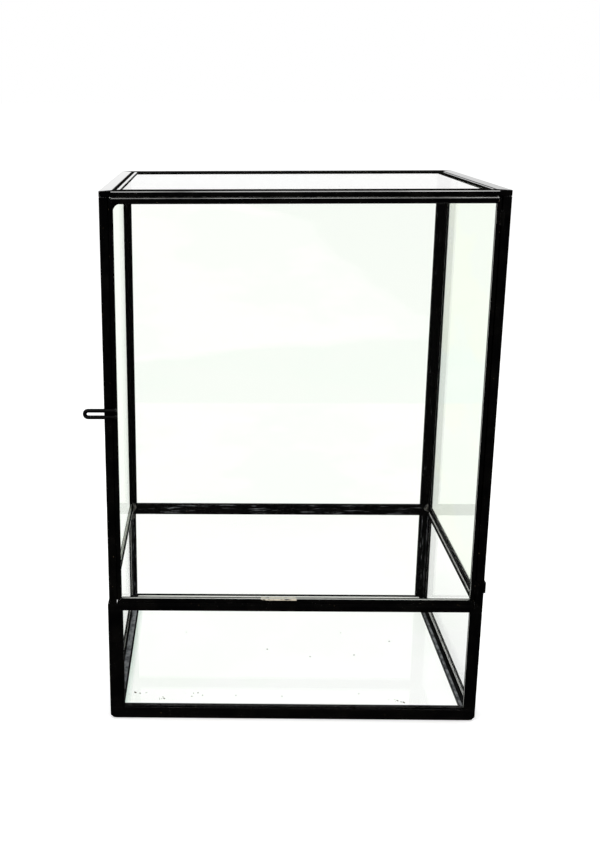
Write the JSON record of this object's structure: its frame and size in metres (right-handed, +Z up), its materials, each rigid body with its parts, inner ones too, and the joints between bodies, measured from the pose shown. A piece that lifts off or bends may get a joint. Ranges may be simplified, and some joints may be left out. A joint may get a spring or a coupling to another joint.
{
  "type": "glass display terrarium",
  "caption": "Tall glazed box in a thin black metal frame, with a planting tray below and a side-hinged front door with a wire loop pull above.",
  "frame": {"origin": "on the surface it stands on, under the middle of its bounding box, pull and hinges included", "axes": "+Z up, +X to the right seen from the front, +Y from the door to the back"},
  "size_m": [0.2108, 0.1436, 0.288],
  "materials": {
    "lacquered_metal": "glossy black, worn to bronze at a few edges",
    "glass": "clear with a faint green cast"
  },
  "bodies": {
    "frame": {"base_rail_front": "lacquered_metal", "base_rail_right": "lacquered_metal", "base_rail_back": "lacquered_metal", "base_rail_left": "lacquered_metal", "tray_rim_front": "lacquered_metal", "tray_rim_right": "lacquered_metal", "tray_rim_back": "lacquered_metal", "tray_rim_left": "lacquered_metal", "roof_rail_front": "lacquered_metal", "roof_rail_right": "lacquered_metal", "roof_rail_back": "lacquered_metal", "roof_rail_left": "lacquered_metal", "sill_right": "lacquered_metal", "sill_back": "lacquered_metal", "sill_left": "lacquered_metal", "door_sill": "lacquered_metal", "tray_post_front_left": "lacquered_metal", "tray_post_front_right": "lacquered_metal", "tray_post_back_left": "lacquered_metal", "tray_post_back_right": "lacquered_metal", "tray_post_front_left_side": "lacquered_metal", "tray_post_front_right_side": "lacquered_metal", "tray_post_back_left_side": "lacquered_metal", "tray_post_back_right_side": "lacquered_metal", "upper_post_front_left": "lacquered_metal", "upper_post_front_right": "lacquered_metal", "upper_post_back_left": "lacquered_metal", "upper_post_back_right": "lacquered_metal", "upper_post_back_left_side": "lacquered_metal", "upper_post_back_right_side": "lacquered_metal", "tray_pane_front": "glass", "tray_pane_right": "glass", "tray_pane_back": "glass", "tray_pane_left": "glass", "upper_pane_right": "glass", "upper_pane_back": "glass", "upper_pane_left": "glass", "floor_pane": "glass", "roof_pane": "glass", "lower_hinge_fixed_leaf": "lacquered_metal", "lower_hinge_pin": "lacquered_metal", "upper_hinge_fixed_leaf": "lacquered_metal", "upper_hinge_pin": "lacquered_metal"},
    "door": {"door_channel_bottom": "lacquered_metal", "door_channel_right": "lacquered_metal", "door_channel_top": "lacquered_metal", "door_channel_left": "lacquered_metal", "door_pane": "glass", "pull_loop": "lacquered_metal", "lower_hinge_door_leaf": "lacquered_metal", "upper_hinge_door_leaf": "lacquered_metal"}
  },
  "joints": [
    {"name": "door_hinge", "type": "hinge", "parent": "frame", "child": "door", "pos_m": [0.10015, -0.07043, 0.17], "axis": [0, 0, 1], "range_deg": [0, 170]}
  ]
}
